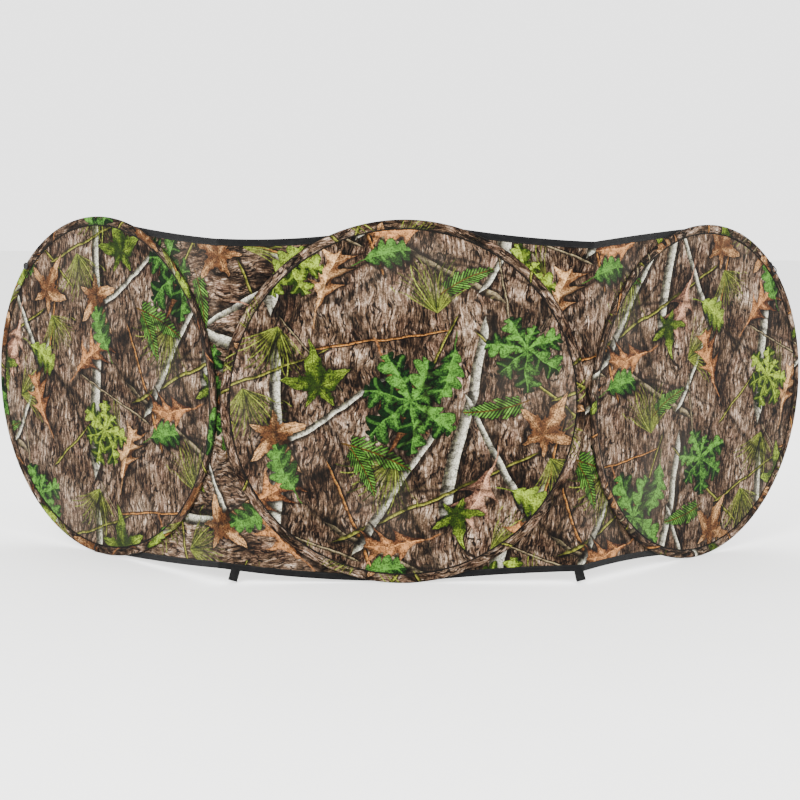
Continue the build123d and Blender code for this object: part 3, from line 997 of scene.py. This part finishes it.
def make_button(panel, materials):
    """A moulded button with a rim, a dished face and two holes crossed by thread."""
    plastic, thread = materials
    turn = panel.angle_of("left_closure_button")
    middle = np.array((cos(turn), sin(turn))) * (HOOP_RADIUS - BUTTON_INSET)
    reach = np.linspace(0.0, 1.0, 26)[:, None] * BUTTON_RADIUS
    angle = (np.arange(64) * (tau / 64))[None, :]
    x, y = reach * np.cos(angle), reach * np.sin(angle)
    dish = ease(reach, 6.3 * MM, 4.6 * MM) * BUTTON_DISH
    height = BUTTON_HEIGHT - dish - ease(reach, 7.0 * MM, 8.0 * MM) * BUTTON_EDGE
    for hole in (-1, 1):
        off = np.hypot(x, y - hole * BUTTON_HOLE_OFF)
        height = height - ease(off, 1.3 * MM, 0.7 * MM) * 1.2 * MM
    skirt = np.array((BUTTON_HEIGHT - BUTTON_EDGE * 1.8, 0.3 * MM, 0.0))[:, None] + 0 * angle
    wide = np.array((1.0, 1.0, 0.9))[:, None] * BUTTON_RADIUS
    x = np.concatenate((np.broadcast_to(x, height.shape)[1:], wide * np.cos(angle)))
    y = np.concatenate((np.broadcast_to(y, height.shape)[1:], wide * np.sin(angle)))
    height = np.concatenate((height[1:], skirt))
    base = SLEEVE_DEPTH / 2
    points = panel.at(middle[0] + x, middle[1] + y, base + height)[::-1]
    closed_x, closed_y = (np.concatenate((part, part[:, :1]), axis=1)[::-1] for part in (x, y))
    maps = {THREAD_MAP: pairs(closed_x, closed_y)}
    piece = grid_piece("left_button", points, maps, [plastic], closed=True, capped=True)
    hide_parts("left_closure_button")
    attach(piece, BODY["left"])
    for number, shift in enumerate((-0.45 * MM, 0.0, 0.45 * MM)):
        share = np.linspace(-1.0, 1.0, 15)
        arch = np.sqrt(np.clip(1 - share**2, 0, 1)) * 0.55 * MM
        rise = base + BUTTON_HEIGHT - BUTTON_DISH - 0.35 * MM + arch
        path = panel.at(middle[0] + shift, middle[1] + share * (BUTTON_HOLE_OFF + 0.3 * MM), rise)
        stitch = tube(f"left_button_thread_{number + 1}", path, 0.24 * MM, thread, sides=8)
        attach(stitch, BODY["left"])


class Fastener:
    """Where the closing elastic leaves the right wing's sleeve: x is outwards, y up the sleeve."""

    def __init__(self, panel):
        turn = radians(ELASTIC_ANGLE)
        self.panel = panel
        self.out = np.array((cos(turn), sin(turn)))
        self.up = np.array((-sin(turn), cos(turn)))

    def at(self, x, y, z):
        x, y = np.asarray(x), np.asarray(y)
        flat = self.out * (TUBE_MIDDLE + x[..., None]) + self.up * y[..., None]
        return self.panel.at(flat[..., 0], flat[..., 1], SLEEVE_DEPTH / 2 + np.asarray(z))


def make_elastic(place, material):
    """A loop of elastic whose ends run under the tab, where they stay on the wing."""
    radius = ELASTIC_DIAMETER / 2
    half, reach = ELASTIC_WIDTH / 2 - radius, ELASTIC_LENGTH - radius
    bend = np.linspace(0.0, pi, 25)
    foot = [(half * cos(a), -reach + half - half * sin(a)) for a in bend]
    neck_shares = ((0.42, 6.0), (0.45, 2.0), (0.62, -2.0), (0.92, -6.5))
    neck = [(half * share, y * MM) for share, y in neck_shares]
    line = neck + foot + [(-x, y) for x, y in neck[::-1]]
    path = even_path(line, 110)
    for _ in range(6):
        path[1:-1] = (path[:-2] + 2 * path[1:-1] + path[2:]) / 4
    rise = ELASTIC_CLEARANCE + radius - 1.15 * MM * ease(path[:, 1], 0.0, 4 * MM)
    piece = tube("right_elastic", place.at(path[:, 0], path[:, 1], rise), radius, material, sides=14)
    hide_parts("right_closure_elastic")
    start, end = (place.at(0.0, y, ELASTIC_CLEARANCE) for y in (1.0 * MM, -2.5 * MM))
    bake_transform(piece)


def make_tab(place, material):
    """A patch of webbing sewn over the elastic's ends, raised where they lie under it."""
    x = np.linspace(-1.0, 1.0, 41) * TAB_WIDTH / 2
    y = ELASTIC_CLEARANCE + np.linspace(0.0, 1.0, 27) * TAB_LENGTH
    across, up = np.meshgrid(x, y)
    ridge = ease(np.abs(np.abs(across) - 2.4 * MM), 2.4 * MM, 0.4 * MM)
    ridge = ridge * ease(up, 8.2 * MM, 5.5 * MM) * 1.35 * MM
    edge = np.minimum(TAB_WIDTH / 2 - np.abs(across), TAB_LENGTH / 2 - np.abs(up - y.mean()))
    rise = TAB_THICKNESS / 2 + ridge - ease(edge, 0.8 * MM, 0.0) * 0.25 * MM
    order = slice(None, None, -1)
    maps = {THREAD_MAP: pairs(up, across)[order]}
    piece = grid_piece("right_tab", place.at(across, up, rise)[order], maps, [material])
    thicken(piece, TAB_THICKNESS)
    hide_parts("right_closure_tab")
    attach(piece, BODY["right"])


def make_sleeve_tape(panel, material):
    """A short tape round the sleeve over its join, open towards the seam."""
    half = sleeve_section()[4:] * MM
    away = half - (TUBE_MIDDLE, 0.0)
    out = half + away / np.linalg.norm(away, axis=1, keepdims=True) * TAPE_STANDS_OFF
    line = np.concatenate((out, (out * (1, -1))[-2::-1]))
    shares = np.linspace(-0.5, 0.5, 7)[:, None]
    turn = panel.angle_of("left_sleeve_tape") + shares * (TAPE_WIDTH / HOOP_RADIUS)
    points = panel.at(line[:, 0] * np.cos(turn), line[:, 0] * np.sin(turn), line[:, 1] + 0 * shares)
    sweep = np.linalg.norm(np.diff(line, axis=0), axis=1)
    across = np.concatenate(([0.0], np.cumsum(sweep)))
    maps = {THREAD_MAP: pairs(across[None, :], shares * TAPE_WIDTH)}
    piece = grid_piece("left_tape", points, maps, [material])
    thicken(piece, TAPE_THICKNESS)
    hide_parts("left_sleeve_tape")
    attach(piece, BODY["left"])


# ---------------------------------------------------------------------------------------------------
# Materials


def new_material(name):
    """A material, its Nodes and its Principled shader."""
    material = bpy.data.materials.new(name)
    material.use_nodes = True
    nodes = Nodes(material.node_tree)
    shader = next(node for node in material.node_tree.nodes if node.type == "BSDF_PRINCIPLED")
    return material, nodes, shader


def weave(nodes, u, v, pitch):
    """The height of plain woven threads, from 0 to 1, over places in metres."""
    over = (u * (tau / pitch)).sin() * (v * (tau / pitch)).sin()
    return over * 0.5 + 0.5


def finish_cloth(nodes, shader, colour, height, distance, roughness, sheen):
    """Feeds a cloth's colour, roughness and relief, with a little sheen and no bright highlights."""
    nodes.feed(shader.inputs["Base Color"], colour)
    nodes.feed(shader.inputs["Roughness"], roughness)
    nodes.feed(shader.inputs["Normal"], nodes.bump(height, 1.0, distance))
    shader.inputs["Specular IOR Level"].default_value = 0.05
    shader.inputs["Sheen Weight"].default_value = sheen
    shader.inputs["Sheen Roughness"].default_value = 0.5


def printed_cloth(print_group):
    """Thin woven polyester with the woodland print, faintly faded and creased."""
    material, nodes, shader = new_material("printed_cloth")
    where = nodes.uv(PRINT_MAP)
    u, v = nodes.split(where)
    printed = nodes.group(print_group, Where=where)
    worn = nodes.noise(where, 3.1, 3.0)
    faded = nodes.mix(worn.step(0.45, 0.75) * 0.05, printed, rgb(150, 140, 128))
    creases = nodes.noise(where, 26.0, 4.0, 0.55)
    height = creases * 0.9 + weave(nodes, u, v, 1.1 * MM) * 0.06
    roughness = nodes.noise(where, 60.0, 2.0) * 0.16 + 0.68
    finish_cloth(nodes, shader, faded, height, 1.6 * MM, roughness, 0.02)
    return material


def reverse_cloth():
    """The cloth's plain back, where the print shows through faintly."""
    material, nodes, shader = new_material("reverse_cloth")
    where = nodes.uv(PRINT_MAP)
    u, v = nodes.split(where)
    ghost = nodes.noise(nodes.join(u, v * 0.3), 48.0, 4.0, 0.6)
    colour = nodes.mix(ghost.step(0.35, 0.7) * 0.6, rgb(84, 80, 70), rgb(116, 110, 98))
    blotch = nodes.noise(where, 9.0, 3.0)
    colour = nodes.mix(blotch.step(0.45, 0.65) * 0.35, colour, rgb(78, 86, 66))
    height = nodes.noise(where, 26.0, 4.0, 0.55) * 0.9 + weave(nodes, u, v, 1.1 * MM) * 0.08
    roughness = nodes.noise(where, 60.0, 2.0) * 0.16 + 0.74
    finish_cloth(nodes, shader, colour, height, 1.6 * MM, roughness, 0.05)
    return material


def dashes(nodes, run, across, row, pitch=3.2 * MM, thick=0.45 * MM):
    """1 on the stitches of a row that lies at a distance across the seam."""
    on = (run / pitch).fract()
    there = on.step(0.0, 0.12) * on.step(0.82, 0.70)
    return there * abs(across - row).step(thick, thick * 0.5)


def sleeve_cloth(print_group):
    """The hoop's sleeve: print running round it, a dented seam with a row of stitches, and painted shade in
    the folds near the seam, along the seam's crease and along the outer rim.
    """
    material, nodes, shader = new_material("sleeve_cloth")
    where = nodes.uv(PRINT_MAP)
    run, from_seam = nodes.split(nodes.uv(THREAD_MAP))
    printed = nodes.group(print_group, Where=where)
    folds = nodes.noise(nodes.join(run, from_seam * 0.35), 120.0, 3.0, 0.6)
    near = from_seam.step(9.0 * MM, 1.0 * MM)
    # Painted shade: the folds near the seam are darkened as if shade lay in them.
    fold_shaded = nodes.mix(near * folds.step(0.62, 0.36) * 0.55, printed, rgb(30, 25, 21))
    # Painted shade: a dark line along the seam's crease and another along the outer rim, where the cloth
    # turns away from the light.
    seam_and_rim_shade = from_seam.step(4.0 * MM, 2.4 * MM) * 0.95 + from_seam.step(17.6 * MM, 19.4 * MM) * 0.7
    seam_and_rim_shaded = nodes.mix(seam_and_rim_shade, fold_shaded, rgb(10, 9, 8))
    stitches = dashes(nodes, run, from_seam, STITCH_INSET)
    sewn = nodes.mix(stitches * 0.9, seam_and_rim_shaded, rgb(24, 23, 21))
    height = folds * (near * 0.7 + 0.3) - stitches * 0.35 + nodes.noise(where, 320.0, 2.0) * 0.12
    roughness = nodes.noise(where, 90.0, 2.0) * 0.16 + 0.68
    finish_cloth(nodes, shader, sewn, height, 1.5 * MM, roughness, 0.02)
    return material


def black_tape(name, rib, rows, base=rgb(5, 5, 6), worn=rgb(20, 20, 20)):
    """Ribbed black tape, with painted light on its ribs' crests. rib is the spacing of its ribs and rows are
    where its stitches run.
    """
    material, nodes, shader = new_material(name)
    where = nodes.uv(THREAD_MAP)
    run, across = nodes.split(where)
    ribs = (run * (tau / rib)).sin() * 0.5 + 0.5
    threads = (across * (tau / (0.9 * MM)) + ribs * 1.5).sin() * 0.5 + 0.5
    fuzz = nodes.noise(where, 900.0, 3.0, 0.6)
    worn_share = (nodes.noise(where, 70.0, 3.0) - 0.45) * 1.6
    # The pale colour (worn) serves both real wear and painted light: the ribs' share lightens their crests.
    colour = nodes.mix(worn_share.higher(0.0) + ribs * 0.22 + fuzz * 0.15, base, worn)
    height = ribs * 0.6 + threads * 0.25 + fuzz * 0.25
    for row in rows:
        stitch = dashes(nodes, run, across, row)
        colour = nodes.mix(stitch * 0.8, colour, rgb(28, 28, 27))
        height = height + stitch * 0.8 - abs(across - row).step(1.1 * MM, 0.5 * MM) * 0.6
    finish_cloth(nodes, shader, colour, height, 0.35 * MM, fuzz * 0.2 + 0.5, 0.05)
    return material


def elastic_sheath():
    """Braided cord: two sets of yarns that cross on the slant, with painted light on the raised yarns."""
    material, nodes, shader = new_material("elastic_sheath")
    where = nodes.uv(THREAD_MAP)
    run, across = nodes.split(where)
    one = ((run + across) * (tau / (1.3 * MM))).sin()
    other = ((run - across) * (tau / (1.3 * MM))).sin()
    braid = one.higher(other) * 0.5 + 0.5
    fuzz = nodes.noise(where, 1200.0, 2.0)
    # Painted light: the braid's raised yarns are lighter, the hollows between them darker.
    colour = nodes.mix(braid * 0.5 + fuzz * 0.2, rgb(6, 6, 7), rgb(34, 34, 35))
    finish_cloth(nodes, shader, colour, braid + fuzz * 0.3, 0.25 * MM, fuzz * 0.2 + 0.42, 0.05)
    return material


def button_plastic():
    """Semi-gloss black plastic with fine scuffs and dust."""
    material, nodes, shader = new_material("moulded_plastic")
    where = nodes.uv(THREAD_MAP)
    scuffs = nodes.noise(where, 700.0, 4.0, 0.6)
    dust = nodes.noise(where, 260.0, 3.0).step(0.55, 0.75)
    nodes.feed(shader.inputs["Base Color"], nodes.mix(dust * 0.2, rgb(8, 8, 8), rgb(60, 56, 52)))
    nodes.feed(shader.inputs["Roughness"], scuffs * 0.3 + dust * 0.2 + 0.15)
    shader.inputs["Specular IOR Level"].default_value = 0.22
    nodes.feed(shader.inputs["Normal"], nodes.bump(scuffs, 0.4, 0.1 * MM))
    return material


def thread():
    """Twisted black thread, with painted light on the ridges of its twist."""
    material, nodes, shader = new_material("thread")
    where = nodes.uv(THREAD_MAP)
    run, across = nodes.split(where)
    twist = ((run + across * 1.2) * (tau / (0.5 * MM))).sin() * 0.5 + 0.5
    fuzz = nodes.noise(where, 3000.0, 2.0)
    # Painted light: the twist's ridges are lighter, the grooves between them darker.
    colour = nodes.mix(twist * 0.6 + fuzz * 0.2, rgb(22, 21, 21), rgb(70, 68, 66))
    finish_cloth(nodes, shader, colour, twist + fuzz * 0.4, 0.08 * MM, fuzz * 0.2 + 0.5, 0.2)
    return material


def metal(name, dark, pale, rough, grain):
    """Worked metal for a CAD node: grain along the hoop, with dull patches."""
    material, nodes, shader = new_material(name)
    place = nodes.add("ShaderNodeNewGeometry").outputs["Position"]
    streaks = nodes.noise(place, grain, 4.0, 0.6)
    patches = nodes.noise(place, 40.0, 3.0)
    nodes.feed(shader.inputs["Base Color"], nodes.mix(patches.step(0.35, 0.7), dark, pale))
    nodes.feed(shader.inputs["Roughness"], streaks * 0.2 + patches * 0.15 + rough)
    nodes.feed(shader.inputs["Normal"], nodes.bump(streaks, 0.3, 0.1 * MM))
    shader.inputs["Metallic"].default_value = 1.0
    return material


def floor_paint():
    """A pale matt floor, faintly mottled."""
    material, nodes, shader = new_material("floor")
    place = nodes.add("ShaderNodeNewGeometry").outputs["Position"]
    mottle = nodes.noise(place, 2.5, 4.0, 0.6)
    nodes.feed(shader.inputs["Base Color"], nodes.mix(mottle, rgb(232, 232, 230), rgb(240, 240, 239)))
    nodes.feed(shader.inputs["Roughness"], mottle * 0.1 + 0.8)
    nodes.feed(shader.inputs["Normal"], nodes.bump(nodes.noise(place, 300.0, 2.0), 0.1, 0.3 * MM))
    return material


# ---------------------------------------------------------------------------------------------------
# Floor, lights and camera


def add_floor():
    mesh = bpy.data.meshes.new("floor")
    corners = [(x * FLOOR_REACH, y * FLOOR_REACH, 0) for x, y in ((-1, -1), (1, -1), (1, 1), (-1, 1))]
    mesh.from_pydata(corners, [], [(0, 1, 2, 3)])
    mesh.materials.append(floor_paint())
    floor = bpy.data.objects.new("floor", mesh)
    bpy.context.scene.collection.objects.link(floor)


def add_light(name, place, size, power):
    light = bpy.data.lights.new(name, "AREA")
    light.size, light.energy = size, power
    lamp = bpy.data.objects.new(name, light)
    lamp.location = place
    lamp.rotation_euler = (Vector(LIGHTS_AIM) - Vector(place)).to_track_quat("-Z", "Y").to_euler()
    bpy.context.scene.collection.objects.link(lamp)


def add_lights():
    """Even studio light: a white surround, a soft key from the front left, a fill and a light behind."""
    world = bpy.data.worlds.new("studio")
    world.use_nodes = True
    background = world.node_tree.nodes["Background"]
    background.inputs["Color"].default_value = (1.0, 1.0, 1.0, 1.0)
    background.inputs["Strength"].default_value = WORLD_STRENGTH
    bpy.context.scene.world = world
    for name, (place, size, power) in LIGHTS.items():
        add_light(name, place, size, power)


def add_camera():
    """The camera where the photo's was. The photo is turned a little on its side."""
    yaw, pitch, roll = (radians(angle) for angle in CAMERA_ANGLES)
    forward = Vector((sin(yaw) * cos(pitch), cos(yaw) * cos(pitch), -sin(pitch)))
    level = Vector((cos(yaw), -sin(yaw), 0.0))
    upright = level.cross(forward)
    right = level * cos(roll) + upright * sin(roll)
    up = upright * cos(roll) - level * sin(roll)
    view = Matrix((right, up, -forward)).transposed().to_4x4()
    view.translation = CAMERA_PLACE
    data = bpy.data.cameras.new("camera")
    data.sensor_width, data.lens = CAMERA_SENSOR, CAMERA_LENS
    camera = bpy.data.objects.new("camera", data)
    camera.matrix_world = view
    bpy.context.scene.collection.objects.link(camera)
    bpy.context.scene.camera = camera


# ---------------------------------------------------------------------------------------------------
# The blind

centre, left, right = Panel("centre", 0), Panel("left", -1), Panel("right", 1)
wings = {"left": left, "right": right}
print_group = woodland_print()
printed, reverse = printed_cloth(print_group), reverse_cloth()
sleeve = sleeve_cloth(print_group)
binding = black_tape("binding_tape", 1.6 * MM, (2.2 * MM,))
webbing = black_tape("ribbed_webbing", 1.9 * MM, (-7.6 * MM, 7.6 * MM))

for seed, panel in enumerate((centre, left, right), start=3):
    make_cloth(panel, PRINT_OFFSET[panel.name], [printed, reverse], seed)
    make_sleeve(panel, SLEEVE_OFFSET[panel.name], [sleeve], seed)

for side, wing in wings.items():
    gusset, area, height = make_gusset(side, centre, wing, [printed, reverse])
    tapes = [make_binding(side, edge, centre, wing, binding) for edge in ("top", "bottom")]
    # A gusset narrows to a waist. make_gusset gives back its area and height, which are not used here.
    make_stake_loop(side, centre, webbing)

make_button(left, (button_plastic(), thread()))
make_sleeve_tape(left, binding)
fastener = Fastener(right)
make_elastic(fastener, elastic_sheath())
make_tab(fastener, webbing)

steel = metal("rolled_steel", rgb(120, 122, 126), rgb(170, 171, 172), 0.28, 900.0)
tube_metal = metal("crimped_tube", rgb(150, 150, 152), rgb(196, 196, 197), 0.32, 500.0)
for panel in (centre, left, right):
    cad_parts[f"{panel.name}_spring_hoop"].data.materials[0] = steel
    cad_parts[f"{panel.name}_hoop_ferrule"].data.materials[0] = tube_metal

add_floor()
add_lights()
add_camera()
